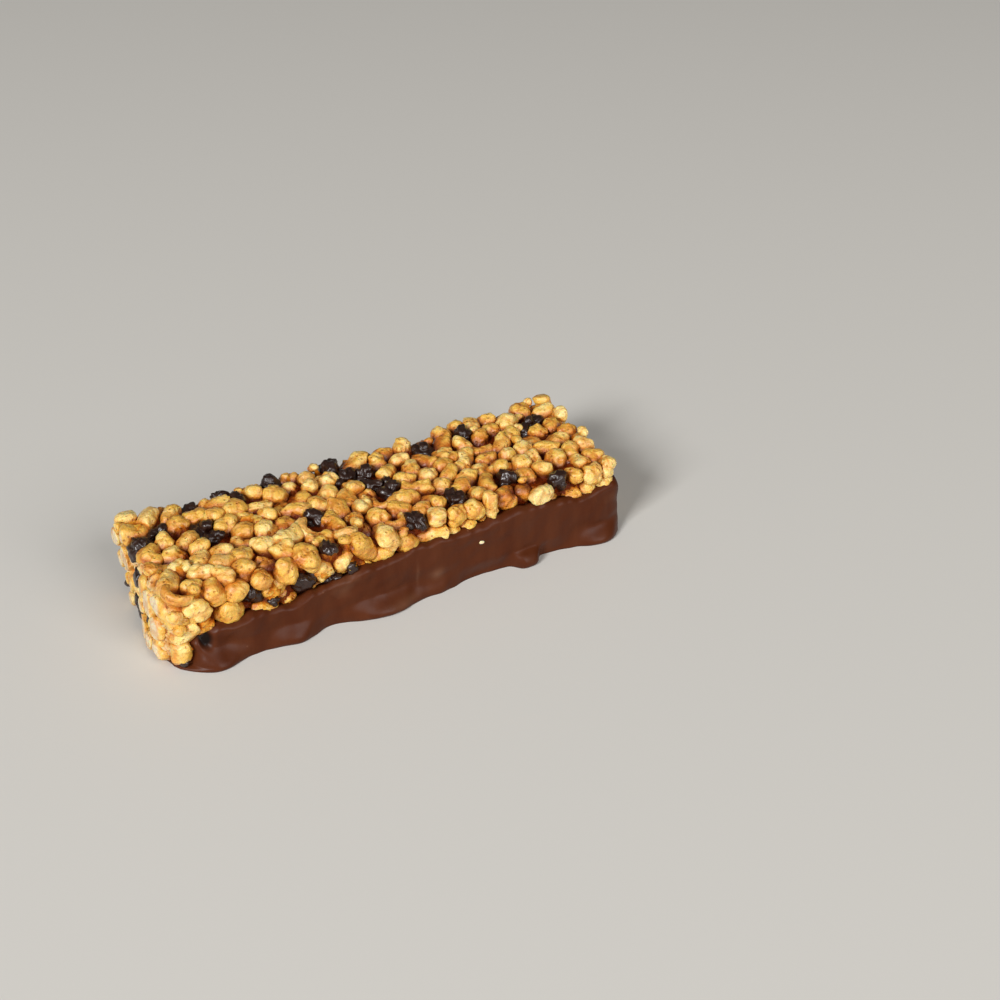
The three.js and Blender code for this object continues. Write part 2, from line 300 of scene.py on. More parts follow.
is_knobbly = ~is_chunk & ~is_long & (draw(number, DRAW_KNOBBLY) < at_share(KNOBBLY_SHARE, loose))
is_seen = (skin_depth < SEEN_DEPTH) & ~is_bit
is_sunk = (skin_depth >= SEEN_DEPTH) & (skin_depth < DEEP_DEPTH)
on_edge = (np.sort(depths, axis=1)[:, 1] - radius < EDGE_BARE) & (depths[:, END] > EDGE_FROM_END)
pinched = (place[:, 0] > PINCH_FROM[0]) & (np.abs(place[:, 1]) > PINCH_FROM[1])
pinched = pinched & (place[:, 2] < edge_height(place[:, 0], place[:, 1]))
is_small = (is_bit & ~on_edge & ~pinched) | is_sunk

# How far each piece stands out of its place: curls lie on the others, and the ends are cut through the
# pieces, which reach out at the corners and slump towards the base.
UNEVEN_OUT = 0.6
CURL_OUT = 0.9
CHUNK_LIFT = 0.8
CREAM_OUT = 0.8
CHUNK_OUT = 0.6
END_OUT = 1.4
CORNER_OUT = 0.8
CORNER_ACROSS = (11.0, 15.5)
CORNER_UP = (12.0, 16.0)
END_DROP = 1.6
DROP_HEIGHT = 5.0
DRAW_OUT = 11

at_end = nearest == END
standing_out = UNEVEN_OUT * (draw(number, DRAW_OUT) - 0.5) + np.where(is_curled, CURL_OUT, 0)
standing_out = np.where(is_chunk & (nearest == TOP) & ~is_bit, CHUNK_LIFT * skin_depth, standing_out)
standing_out = np.where(number == cream, CREAM_OUT, standing_out)
standing_out = np.where(at_end & ~is_bit, np.where(is_chunk, CHUNK_OUT, END_OUT), standing_out)
middle = place + outward * standing_out[:, None]
middle[:, 1] += CORNER_OUT * at_end * np.sign(place[:, 1]) * between(np.abs(place[:, 1]), *CORNER_ACROSS)
middle[:, 2] += CORNER_OUT * at_end * between(place[:, 2], *CORNER_UP)
middle[:, 2] -= END_DROP * at_end * np.clip(2 - place[:, 2] / DROP_HEIGHT, 0, 1)


# Puffs: grains of rice and maize blown up by heat. Each is a light lump of a few bulges grown together,
# with creases and open pores; long ones bend, and some curl up. They are glazed, and stick to each other.
PUFF_CELLS = 12
BIT_CELLS = 7
JOIN_DIGITS = 6
LOBE_SHARPNESS = 10.0
LOBE_FAR = (0.55, 0.45)
LOBE_SIZE = (0.8, 0.4)
LEAST_SKIN = 0.2
CREASE_ALIKE = (1.15, 2.1)
STRAIGHT = 1e-3
TILT = 0.5
UPRIGHT = 0.7
DRAW_SPIN = 7
DRAW_LOBE = 20
DRAW_TILT = 30


def grid_quads(corner):
    """The faces of a grid of corner numbers: the four corners of each of its cells."""
    cells = np.stack([corner[:-1, :-1], corner[1:, :-1], corner[1:, 1:], corner[:-1, 1:]], axis=-1)
    return cells.reshape(-1, 4)


def ball(cells):
    """Directions over a ball and its faces: six square grids of a cube, at equal angles, pushed out to
    the ball and joined along the cube's edges."""
    step = np.tan(np.linspace(-1, 1, cells + 1) * math.pi / 4)
    a, b = np.meshgrid(step, step, indexing="ij")
    one = np.ones_like(a)
    sides = ((one, a, b), (-one, b, a), (b, one, a), (a, -one, b), (a, b, one), (b, a, -one))
    points = np.concatenate([np.stack(side, axis=-1).reshape(-1, 3) for side in sides])
    points = points / np.linalg.norm(points, axis=1, keepdims=True)
    corner = np.arange(a.size).reshape(a.shape)
    faces = np.concatenate([grid_quads(corner) + side * corner.size for side in range(len(sides))])
    rounded = np.round(points, JOIN_DIGITS)
    _, first, joined = np.unique(rounded, axis=0, return_index=True, return_inverse=True)
    return points[first], joined.reshape(-1)[faces]


def directions(numbers, channel, count):
    """Seeded directions, evenly spread over the ball: an even height and an even turn, for each piece."""
    keys = numbers[:, None] * count + np.arange(count)
    height = 2 * draw(keys, channel) - 1
    turn = 2 * np.pi * draw(keys, channel + 1)
    flat = np.sqrt(1 - height**2)
    return np.stack([flat * np.cos(turn), flat * np.sin(turn), height], axis=-1)


def drawn(least, span, numbers, channel):
    """A drawn size: the least, and a draw's share of the span above it."""
    return least + span * draw(numbers, channel)


def soft_above(value, sharpness):
    """How far a value lies above zero, rounded off at zero: the logarithm of one plus its exponential."""
    return np.logaddexp(0, value * sharpness) / sharpness


def grown_together(way, numbers, count, spread, size):
    """Radius, over directions, of a few balls grown together: a soft maximum of their skins. Also how far
    each direction lies in a crease, where several skins are equally far out."""
    keys = numbers[:, None] * count + np.arange(count)
    far = spread * drawn(*LOBE_FAR, keys, DRAW_LOBE + 2)
    lobe = size * drawn(*LOBE_SIZE, keys, DRAW_LOBE + 3)
    along = np.einsum("gi,pki->pgk", way, directions(numbers, DRAW_LOBE, count)) * far[:, None]
    under = lobe[:, None] ** 2 - far[:, None] ** 2 + along**2
    skin = np.where(under > 0, along + np.sqrt(np.maximum(under, 0)), LEAST_SKIN)
    farthest = skin.max(axis=2)
    alike = np.exp(LOBE_SHARPNESS * (skin - farthest[..., None])).sum(axis=2)
    return farthest + np.log(alike) / LOBE_SHARPNESS, between(alike, *CREASE_ALIKE)


def bumps(way, numbers, channel, count, height, narrow):
    """Round bumps over directions: each falls off as the exponential of the angle's cosine."""
    keys = numbers[:, None] * count + np.arange(count)
    cosine = np.einsum("gi,pki->pgk", way, directions(numbers, channel, count))
    return (height * draw(keys, channel + 2)[:, None] * np.exp(narrow * (cosine - 1))).sum(axis=2)


def bend(points, half, angle):
    """Points bent in the plane of X and Y: the line along X becomes an arc of the given angle."""
    round_radius = 2 * half[:, None] / np.maximum(angle, STRAIGHT)[:, None]
    turn = points[..., 0] / round_radius
    from_middle = round_radius - points[..., 1]
    sagitta = round_radius * (1 - np.cos(angle / 2)[:, None]) / 2
    bent_y = round_radius - from_middle * np.cos(turn) - sagitta
    return np.stack([from_middle * np.sin(turn), bent_y, points[..., 2]], axis=-1)


def blunt(points, half):
    """Long pieces with full, round ends: at a share of the half length the section is widened, so that
    the ellipse's root of one less the square becomes the root of one less the sixth power."""
    share = np.clip(points[..., 0] / half[:, None, 0], -1, 1)
    return points * np.stack([np.ones_like(share)] + 2 * [np.sqrt(1 + share**2 + share**4)], axis=-1)


def stand(points, numbers):
    """Points turned so that their Z looks out of the nearest face, with a seeded spin and a
    small tilt."""
    spin = 2 * np.pi * draw(numbers, DRAW_SPIN)
    out = outward[numbers] + TILT * directions(numbers, DRAW_TILT, 1)[:, 0]
    out /= np.linalg.norm(out, axis=1, keepdims=True)
    helper = np.where(np.abs(out[:, 2:]) > UPRIGHT, np.array([[1.0, 0, 0]]), np.array([[0, 0, 1.0]]))
    first = np.cross(helper, out)
    first /= np.linalg.norm(first, axis=1, keepdims=True)
    second = np.cross(out, first)
    along = first * np.cos(spin)[:, None] + second * np.sin(spin)[:, None]
    axes = np.stack([along, np.cross(out, along), out], axis=1)
    return np.einsum("pgi,pij->pgj", points, axes)


# How the pieces were pressed: each is flattened where it meets its neighbours, and the roller and the
# knives left flat faces. Points deep in the seams or at a contact are darkened: painted shade, together
# with some browning by syrup.
CONTACTS = 12
CONTACT_REACH = 1.05
CONTACT_SHARP = 4.0
CONTACT_ROUND = 2.5
CONTACT_NEAR = (-0.6, 0.2)
CONTACT_SHADE = 0.3
EVEN_ROUNDS = 5
LEFT_PAST = 0.1
END_SHARP = 3.5
CUT_DEPTHS = (0.1, 0.6)
SIDE_PAST = 0.15
SIDE_SHARP = 6.0
SIDE_BEHIND_COAT = 2.0
PINCH_BACK = 3.8
PINCH_ALONG = (51.0, 56.0)
PINCH_BELOW = (-1.2, 0.8)
TOP_PAST = 0.7
TOP_SHARP = 3.0
TOP_FALL = 1.1
TOP_FALL_ACROSS = (13.5, 18.5)
LOWEST = 0.4
LOWEST_SHARP = 8.0
SEAM_REACH = 0.9
SEAM_DEPTHS = (0.6, 2.8)
SEAM_SHARES = np.array([1.0, 1.0, 0.68])


def relax(field, faces, rounds):
    """A field over the points of balls, evened out: each point takes the mean of itself and of the points
    it shares an edge with, a few times over."""
    ends = np.concatenate([faces[:, [side, (side + 1) % 4]] for side in range(4)])
    ends = ends[np.argsort(ends[:, 0], kind="stable")]
    sharing = np.bincount(ends[:, 0])
    starts = np.concatenate([[0], np.cumsum(sharing)[:-1]])
    for _ in range(rounds):
        field = (field + np.add.reduceat(field[:, ends[:, 1]], starts, axis=1)) / (1 + sharing)[:, None]
    return field


def trim(points):
    """Points held by the bar's faces, each of which rounds off what passes it. The sides
    stand back under the coat and below its edge at the right end, and the top falls towards
    the sides. Also how cut each point is."""
    x, y, z = np.moveaxis(points, -1, 0)
    end_past = soft_above(np.abs(x) - BAR_LENGTH / 2 - np.where(x < 0, LEFT_PAST, 0), END_SHARP)
    x = x - np.sign(x) * end_past
    side = SLAB_HALF_WIDTH + SIDE_PAST - SIDE_BEHIND_COAT * under_coat(points)
    side = side - PINCH_BACK * between(x, *PINCH_ALONG) * between(edge_height(x, y) - z, *PINCH_BELOW)
    y = y - np.sign(y) * soft_above(np.abs(y) - side, SIDE_SHARP)
    top = BAR_HEIGHT + TOP_PAST - TOP_FALL * between(np.abs(y), *TOP_FALL_ACROSS)
    z = z - soft_above(z - top, TOP_SHARP) + soft_above(LOWEST - z, LOWEST_SHARP)
    return np.stack([x, y, z], axis=-1), between(end_past, *CUT_DEPTHS)


def press(points, numbers, give, faces):
    """Points of pieces pressed together: a neighbour's ball stops them where they give a little past the
    plane in which the two balls meet, and then the bar's faces do. Also the painted shade of each point,
    darker the deeper it lies below the faces and where it touches a neighbour, and how cut each point is."""
    own = place[numbers]
    distance = np.sqrt(((place[None] - own[:, None]) ** 2).sum(2))
    distance[np.arange(len(numbers)), numbers] = np.inf
    gap = distance - radius[None] - radius[numbers][:, None]
    nearby = np.argsort(gap, axis=1)[:, :CONTACTS]
    contact = np.zeros(points.shape[:2])
    free = points
    for other in nearby.T:
        line = place[other] - own
        reach = np.linalg.norm(line, axis=1)
        line /= reach[:, None]
        stop = (reach**2 + radius[numbers] ** 2 - radius[other] ** 2) / (2 * reach)
        past = np.einsum("pgi,pi->pg", points - own[:, None], line) - stop[:, None]
        inside = np.linalg.norm(points - place[other][:, None], axis=2)
        weight = 1 / (1 + np.exp(CONTACT_SHARP * (inside - CONTACT_REACH * radius[other][:, None])))
        push = soft_above(past - give, CONTACT_ROUND) * weight
        points = points - push[..., None] * line[:, None]
        contact = np.maximum(contact, weight * between(past, *CONTACT_NEAR))
    points, cut = trim(free + relax(points - free, faces, EVEN_ROUNDS))
    # Painted shade: darker the deeper a point lies below the bar's faces, and where it touches a
    # neighbour.
    painted_depth_shade = between((bare_depths(points, SEAM_REACH) * SEAM_SHARES).min(axis=-1), *SEAM_DEPTHS)
    return points, 1 - (1 - painted_depth_shade) * (1 - CONTACT_SHADE * contact), cut


# The left end swells, most low at the front, where the warm slab slumped. The bar is moved along so that
# the origin is its middle.
SWELL_REACH = 2.3
SWELL_AT = -8.0
SWELL_HALF = 9.0
SWELL_FADE = 0.7
SWELL_FROM = -36.0
MIDDLE_SHIFT = 1.0


def lay_down(points):
    """Points of the plain bar, laid where they lie: the swell falls off as a bell across the bar, in
    proportion upwards and along the bar."""
    x, y, z = np.moveaxis(points, -1, 0)
    share = np.clip((SWELL_FROM - x) / (SWELL_FROM + BAR_LENGTH / 2), 0, 1)
    level = 1 - SWELL_FADE * np.clip(z / BAR_HEIGHT, 0, 1)
    swell = SWELL_REACH * share * level * np.exp(-(((y - SWELL_AT) / SWELL_HALF) ** 2))
    return np.stack([x + MIDDLE_SHIFT - swell, y, z], axis=-1)


def put_mesh(name, points, faces, material, slot, **values):
    """A mesh piece from points of the plain bar and faces, shaded smooth, with named values
    at its points."""
    mesh = bpy.data.meshes.new(name)
    mesh.from_pydata(lay_down(points.reshape(-1, 3)) * MM, [], faces)
    mesh.polygons.foreach_set("use_smooth", np.ones(len(mesh.polygons), dtype=bool))
    for key, numbers in values.items():
        stored = mesh.attributes.new(key, "FLOAT", "POINT")
        stored.data.foreach_set("value", numbers.astype(np.float32).ravel())
    mesh.materials.append(material)
    piece = bpy.data.objects.new(name, mesh)
    bpy.context.collection.objects.link(piece)
    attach(piece, "root")
    return piece


def repeat_faces(faces, count, points):
    """The faces of one ball, for a row of balls whose points follow each other."""
    return (faces[None] + points * np.arange(count)[:, None, None]).reshape(-1, faces.shape[1])


# The puffs' finish: toasted grain under a thin glaze, which lets a little light in. Scales of patterns
# are in spots to the metre, and the depths of relief and glow are in metres.
WHITE = (1.0, 1.0, 1.0)
BLACK = (0.0, 0.0, 0.0)
TOASTED = (0.64, 0.297, 0.034)
GOLDEN = (0.815, 0.474, 0.074)
PALE = (0.91, 0.690, 0.262)
TOAST_PLACES = (0.0, 0.45, 1.0)
CUT_CRUMB = (0.82, 0.660, 0.410)
# Painted shade colours: the seam and deep colours darken points by how deep they lie in the seams; the
# seam colour also browns the pores.
PORE_BROWN_AND_SEAM_SHADE = (0.76, 0.425, 0.130)
DEEP_PAINTED_SHADE = (0.20, 0.048, 0.007)
PAINTED_SHADE_PLACES = (0.1, 0.55, 1.0)
GRAIN_GLOSS = 0.5
GRAIN_GLAZE = 0.6
GLAZE_ROUGH = 0.38
GLOW_WEIGHT = 0.4
GLOW_DEPTH = 0.0009
GLOW_REACH = (1.0, 0.55, 0.2)
BLOTCH_NOISE = (420, 3)
BLOTCH_MIDDLE = 0.55
BLOTCH_STRENGTH = 1.6
PORE_SCALE = 750
PORE_RIM = (0.07, 0.25)
PORE_SHARE = 0.55
PORE_SHARE_CUT = 0.4
PORE_RELIEF = 0.6
GRAIN_NOISE = (1100, 4)
GRAIN_ROUGH = (0.36, 0.54)
GRAIN_BUMP = (1.0, 0.0006)
MIX_INPUTS = (0, 6, 7)
MIX_OUTPUT = 2


def node(tree, kind, inputs, **settings):
    """A shader node with its settings. An input is linked if it is a socket, and set if it is
    a constant."""
    made = tree.nodes.new(kind)
    for key, value in settings.items():
        setattr(made, key, value)
    for key, value in inputs.items():
        if isinstance(value, bpy.types.NodeSocket):
            tree.links.new(value, made.inputs[key])
        else:
            made.inputs[key].default_value = value
    return made


def calculate(tree, operation, *values):
    """A sum or product of values, each of which may be a number or a socket."""
    return node(tree, "ShaderNodeMath", dict(enumerate(values)), operation=operation).outputs[0]


def mix(tree, share, first, second, way="MIX"):
    """A colour between two, or their product: each may be a colour or a socket, and the share too."""
    colours = [c if isinstance(c, bpy.types.NodeSocket) else (*c, 1) for c in (first, second)]
    inputs = dict(zip(MIX_INPUTS, (share, *colours)))
    return node(tree, "ShaderNodeMix", inputs, data_type="RGBA", blend_type=way).outputs[MIX_OUTPUT]


def ramp(tree, value, places, colours):
    """A colour ramp over a value: each colour at its place, and those between them in proportion."""
    made = node(tree, "ShaderNodeValToRGB", {"Fac": value})
    stops = made.color_ramp.elements
    while len(stops) < len(places):
        stops.new(1)
    for stop, position, colour in zip(stops, places, colours):
        stop.position = position
        stop.color = (*colour, 1)
    return made.outputs["Color"]


def object_place(tree):
    """Places on the piece in its own frame, for patterns to follow."""
    return node(tree, "ShaderNodeTexCoord", {}).outputs["Object"]


def point_value(tree, name):
    """One of the named values at the mesh's points."""
    return node(tree, "ShaderNodeAttribute", {}, attribute_name=name).outputs["Fac"]


def noise(tree, where, scale, detail):
    """Cloudy noise of a scale, with a number of finer layers added to it."""
    made = node(tree, "ShaderNodeTexNoise", {"Vector": where, "Scale": scale, "Detail": detail})
    return made.outputs["Fac"]


def dot_distance(tree, where, scale):
    """Distance to the nearest of scattered dots, as a share of their usual spacing."""
    return node(tree, "ShaderNodeTexVoronoi", {"Vector": where, "Scale": scale}).outputs["Distance"]


def finish_of(name, **values):
    """A new material with a Principled shader, whose constant inputs are set on its own sockets."""
    material = bpy.data.materials.new(name)
    material.use_nodes = True
    shader = material.node_tree.nodes["Principled BSDF"]
    for socket, value in values.items():
        shader.inputs[socket.replace("_", " ")].default_value = value
    return material, material.node_tree, shader


def set_surface(tree, shader, colour, unevenness, rough, relief, bump):
    """A shader's colour, its roughness between two ends by an unevenness, and its relief as a bump of a
    strength and a depth."""
    ends = dict(zip(("Value", "To Min", "To Max"), (unevenness, *rough)))
    heights = dict(zip(("Height", "Strength", "Distance"), (relief, *bump)))
    tree.links.new(colour, shader.inputs["Base Color"])
    tree.links.new(node(tree, "ShaderNodeMapRange", ends).outputs[0], shader.inputs["Roughness"])
    tree.links.new(node(tree, "ShaderNodeBump", heights).outputs["Normal"], shader.inputs["Normal"])


def grain_finish(name, gloss, glaze):
    """Puffed grain: a tone for each puff, toasted blotches, cream where cut, and pores as small brown dots
    that are also pressed in, with painted shade, together with some syrup browning, where points lie deep
    in the seams. Its skin has a gloss, and a glaze over it."""
    material, tree, shader = finish_of(
        name,
        Specular_IOR_Level=gloss,
        Coat_Weight=glaze,
        Coat_Roughness=GLAZE_ROUGH,
        Subsurface_Weight=GLOW_WEIGHT,
        Subsurface_Scale=GLOW_DEPTH,
        Subsurface_Radius=GLOW_REACH,
    )
    where = object_place(tree)
    cut = point_value(tree, "cut")
    blotch = calculate(tree, "SUBTRACT", noise(tree, where, *BLOTCH_NOISE), BLOTCH_MIDDLE)
    toast = calculate(tree, "MULTIPLY_ADD", blotch, BLOTCH_STRENGTH, point_value(tree, "tone"))
    colour = ramp(tree, toast, TOAST_PLACES, (TOASTED, GOLDEN, PALE))
    colour = mix(tree, cut, colour, CUT_CRUMB)
    pores = ramp(tree, dot_distance(tree, where, PORE_SCALE), PORE_RIM, (BLACK, WHITE))
    browned = mix(tree, 1.0, colour, mix(tree, pores, PORE_BROWN_AND_SEAM_SHADE, WHITE), "MULTIPLY")
    colour = mix(tree, calculate(tree, "MULTIPLY_ADD", cut, PORE_SHARE_CUT, PORE_SHARE), colour, browned)
    # Painted shade from each point's depth in the seams, multiplied into the colour.
    shade = ramp(tree, point_value(tree, "nook"), PAINTED_SHADE_PLACES, (WHITE, PORE_BROWN_AND_SEAM_SHADE, DEEP_PAINTED_SHADE))
    colour = mix(tree, 1.0, colour, shade, "MULTIPLY")
    grain = noise(tree, where, *GRAIN_NOISE)
    relief = calculate(tree, "MULTIPLY_ADD", pores, PORE_RELIEF, grain)
    set_surface(tree, shader, colour, grain, GRAIN_ROUGH, relief, GRAIN_BUMP)
    return material


# The kinds of puff: each has the cells along a side of its ball, its bulges as their count, spread and
# size, its half sizes, its bend as the least and the span, and how far it gives past a neighbour.
BIT_LOBES = (4, 0.4, 0.7)
PUFF_KINDS = {
    "round_puffs": (PUFF_CELLS, (5, 0.4, 0.66), (1.06, 0.96, 0.95), (0.0, 0.5), 0.4),
    "knobbly_puffs": (PUFF_CELLS, (9, 0.57, 0.5), (1.1, 1.02, 1.0), (0.0, 0.4), 0.4),
    "long_puffs": (PUFF_CELLS, (6, 0.42, 0.64), (1.34, 0.8, 0.82), (0.3, 1.1), 0.5),
    "curled_puffs": (PUFF_CELLS, (8, 0.36, 0.68), (1.5, 0.4, 0.55), (3.0, 0.9), 1.0),
    "cereal_bits": (BIT_CELLS, BIT_LOBES, (1.15, 0.95, 0.9), (0.0, 0.8), 0.2),
}
PUFF_SWELL = (1.18, 1.1)
LONG_FROM = 1.4
HALF_RANGE = (0.9, 0.2)
KNOBS = (26, 0.15, 44)
PITS = (5, 0.32, 50)
SKIN_SHIFT = 7.0
SKIN_WAVES = ((0.014, 0.6, 1), (0.012, 0.32, 2))
WAVE_COUNT = 9
WAVE_RANGE = (0.7, 0.6)
WAVE_HEIGHT = 1.4
WAVE_KEYS = 100
CREASE_SHADE = 0.36
CREAM_TONE = 1.4
TONE_RANGE = (0.32, 0.6)
DRAW_BEND = 9
DRAW_PIT = 27
DRAW_TONE = 33
DRAW_KNOB = 34
DRAW_HALF = 40
DRAW_WAVE = 50


def waves(points, length, channel):
    """Smooth unevenness from about -1 to 1: sine waves of about one length in seeded directions, added
    together."""
    keys = np.arange(WAVE_COUNT) + WAVE_KEYS * channel
    way = directions(np.array([channel]), DRAW_WAVE, WAVE_COUNT)[0] * (2 * np.pi / length)
    way = way * drawn(*WAVE_RANGE, keys, DRAW_WAVE + 2)[:, None]
    start = 2 * np.pi * draw(keys, DRAW_WAVE + 3)
    return np.sin(points @ way.T + start).sum(axis=-1) * (WAVE_HEIGHT / math.sqrt(WAVE_COUNT))


def ripple(points, *layers):
    """Layers of waves added together, each with a height, a length and a channel."""
    return sum(height * waves(points, length, channel) for height, length, channel in layers)


def own_skin(way, numbers):
    """Directions moved along by each piece's number, so that each has waves of its own."""
    return way[None] + SKIN_SHIFT * numbers[:, None, None]


def uneven(numbers, *middles):
    """Half sizes about the given middles, each larger or smaller by up to a tenth."""
    sizes = [size * drawn(*HALF_RANGE, numbers, DRAW_HALF + axis) for axis, size in enumerate(middles)]
    return np.stack(sizes, axis=1)


def puffs(name, numbers, cells, lobes, halves, bends, give):
    """Puffs of one kind: bulges grown together, with knobs, open pits and a rough skin, stretched by
    their half sizes, bent, turned, put in place and pressed among the others."""
    way, faces = ball(cells)
    swell = at_share(PUFF_SWELL, loose[numbers])
    half = (radius[numbers] * swell)[:, None] * uneven(numbers, *halves)
    lump, crease = grown_together(way, numbers, *lobes)
    lump = lump + bumps(way, numbers, DRAW_KNOB, *KNOBS) - bumps(way, numbers, DRAW_PIT, *PITS)
    lump = lump + ripple(own_skin(way, numbers), *SKIN_WAVES)
    points = lump[..., None] * way[None] * half[:, None]
    if halves[0] > LONG_FROM * halves[1]:
        points = blunt(points, half)
    points = bend(points, half[:, 0], drawn(*bends, numbers, DRAW_BEND))
    points, nook, cut = press(stand(points, numbers) + middle[numbers][:, None], numbers, give, faces)
    # Painted shade in the creases between a puff's bulges.
    nook = 1 - (1 - nook) * (1 - CREASE_SHADE * crease)
    tone = np.where(numbers == cream, CREAM_TONE, drawn(*TONE_RANGE, numbers, DRAW_TONE))
    tone = np.broadcast_to(tone[:, None], nook.shape)
    all_faces = repeat_faces(faces, len(numbers), len(way))
    return put_mesh(name, points, all_faces, glazed_grain, "cereal", tone=tone, nook=nook, cut=cut)


puff_members = {
    "round_puffs": is_seen & ~is_chunk & ~is_long & ~is_knobbly,
    "knobbly_puffs": is_seen & is_knobbly,
    "long_puffs": is_seen & is_long & ~is_curled,
    "curled_puffs": is_seen & is_curled,
    "cereal_bits": is_small & ~is_chunk,
}
glazed_grain = grain_finish("glazed_grain", GRAIN_GLOSS, GRAIN_GLAZE)
puff_pieces = {kind: puffs(kind, number[puff_members[kind]], *sizes) for kind, sizes in PUFF_KINDS.items()}
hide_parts("cereal_slab")


# Chunks: dark chocolate broken small, lumps with flat breaks and wrinkled skins that stay glossy. They
# are stirred in with the puffs and held by the same syrup, and smaller crumbs of them lie in the gaps.
CHUNK_CELLS = 12
CHUNK_LOBES = (16, 0.66, 0.38)
CHUNK_HALVES = (1.25, 1.12, 1.05)
CHUNK_GIVE = 0.5
CHUNK_LEVEL = 0.985
WRINKLE_HEIGHT = 0.07
WRINKLE_WAVES = (0.7, 3)
CHUNK_WAVES = (0.04, 0.45, 4)
DARK_CHOCOLATE = (0.0190, 0.0050, 0.0020)
CHOCOLATE_DUST = (0.046, 0.018, 0.010)
DUST_PLACES = (0.5, 0.8)
DUST_NOISE = (700, 5)
CHUNK_GLOSS = 0.3
CHUNK_SHINE = 0.6
CHUNK_SHINE_ROUGH = 0.24
CHUNK_ROUGH = (0.22, 0.5)
SUGAR_NOISE = (1500, 4)
SUGAR_BUMP = (0.8, 0.0003)


def chunk_radius(way, numbers):
    """Radius of chunks over directions: many small lumps grown together, with wrinkles where waves of the
    surface fold."""
    lumps, _ = grown_together(way, numbers, *CHUNK_LOBES)
    shifted = own_skin(way, numbers)
    wrinkle = 1 - np.abs(waves(shifted, *WRINKLE_WAVES))
    return lumps * (CHUNK_LEVEL + WRINKLE_HEIGHT * wrinkle + ripple(shifted, CHUNK_WAVES))


def chunk_finish():
    """Dark chocolate: nearly black brown, dusty in cloudy patches, glossy, with a fine sugar grain."""
    material, tree, shader = finish_of(
        "dark_chocolate",
        Specular_IOR_Level=CHUNK_GLOSS,
        Coat_Weight=CHUNK_SHINE,
        Coat_Roughness=CHUNK_SHINE_ROUGH,
    )
    where = object_place(tree)
    dust = noise(tree, where, *DUST_NOISE)
    colour = ramp(tree, dust, DUST_PLACES, (DARK_CHOCOLATE, CHOCOLATE_DUST))
    set_surface(tree, shader, colour, dust, CHUNK_ROUGH, noise(tree, where, *SUGAR_NOISE), SUGAR_BUMP)
    return material


def chunks(name, numbers, cells):
    """Chunks of one size: wrinkled lumps, stretched, turned, put in place and pressed among
    the others."""
    way, faces = ball(cells)
    half = radius[numbers][:, None] * uneven(numbers, *CHUNK_HALVES)
    points = chunk_radius(way, numbers)[..., None] * way[None] * half[:, None]
    points, _, _ = press(stand(points, numbers) + middle[numbers][:, None], numbers, CHUNK_GIVE, faces)
    all_faces = repeat_faces(faces, len(numbers), len(way))
    put_mesh(name, points, all_faces, dark_finish, "dark_chocolate")


dark_finish = chunk_finish()
chunks("dark_chunks", number[is_seen & is_chunk], CHUNK_CELLS)
chunks("dark_bits", number[is_small & is_chunk], BIT_CELLS)


# Syrup: boiled sugar with cereal dust that binds the slab. It has set in the seams between the pieces,
# with painted shade that turns it from golden to brown the deeper it lies, and fills the middle of the
# slab out of sight.
SYRUP_STEP = 0.5
SYRUP_INSET = 3.2
SYRUP_ROUND = 1.4
SYRUP_LOWEST = 0.35
QUARTER_POINTS = 9
TURN_STEPS = 4
FLAT_FIRST = 0.02
FLAT_EXTRA = 6
SYRUP_BELOW_SKIN = (0.55, 1.6)
SYRUP_UNDER_PUFFS = 0.9
SYRUP_UNDER_CHUNKS = 0.72
SYRUP_BLEND = 1.7
SYRUP_SKIRT = 1.6
SYRUP_CLIMB = 2.9
SYRUP_DUST = (0.26, 1.4, 21)
SYRUP_SHADE = (0.3, 2.0)
SYRUP_TONE = 0.3
SYRUP_GLOSS = 0.15
SYRUP_GLAZE = 0.0
ON_SIDE = 0.7
SIDE_CRUMB = 0.65
END_CRUMB = 1.0
END_CRUMB_WAVES = (0.35, 1.5, 22)
END_FACING = (0.2, 0.9)
CUT_FACING = (0.6, 0.9)
CRUMB_CUT = 0.6
CHUNK_BED = (0.8, 0.2)
COAT_COVERS = 1.8
BEHIND_COAT = 1.7
FADE_BELOW = (0.05, 0.35)


def rounded_section(half_width, half_height, corner, step):
    """A rectangle with round corners as an even loop of points, and its outward directions: four quarter
    arcs, joined, stepped along evenly, and turned by a right angle from the way ahead."""
    turn = np.linspace(0, np.pi / 2, QUARTER_POINTS) + np.arange(4)[:, None] * np.pi / 2
    y = np.array([1, -1, -1, 1])[:, None] * (half_width - corner) + corner * np.cos(turn)
    z = np.array([1, 1, -1, -1])[:, None] * (half_height - corner) + corner * np.sin(turn)
    loop = np.stack([y, z], axis=-1).reshape(-1, 2)
    closed = np.vstack([loop, loop[:1]])
    run = np.concatenate([[0], np.cumsum(np.linalg.norm(np.diff(closed, axis=0), axis=1))])
    even = np.linspace(0, run[-1], int(run[-1] / step), endpoint=False)
    loop = np.stack([np.interp(even, run, closed[:, 0]), np.interp(even, run, closed[:, 1])], axis=1)
    ahead = np.roll(loop, -1, axis=0) - np.roll(loop, 1, axis=0)
    out = np.stack([ahead[:, 1], -ahead[:, 0]], axis=1)
    return loop, out / np.linalg.norm(ahead, axis=1, keepdims=True)


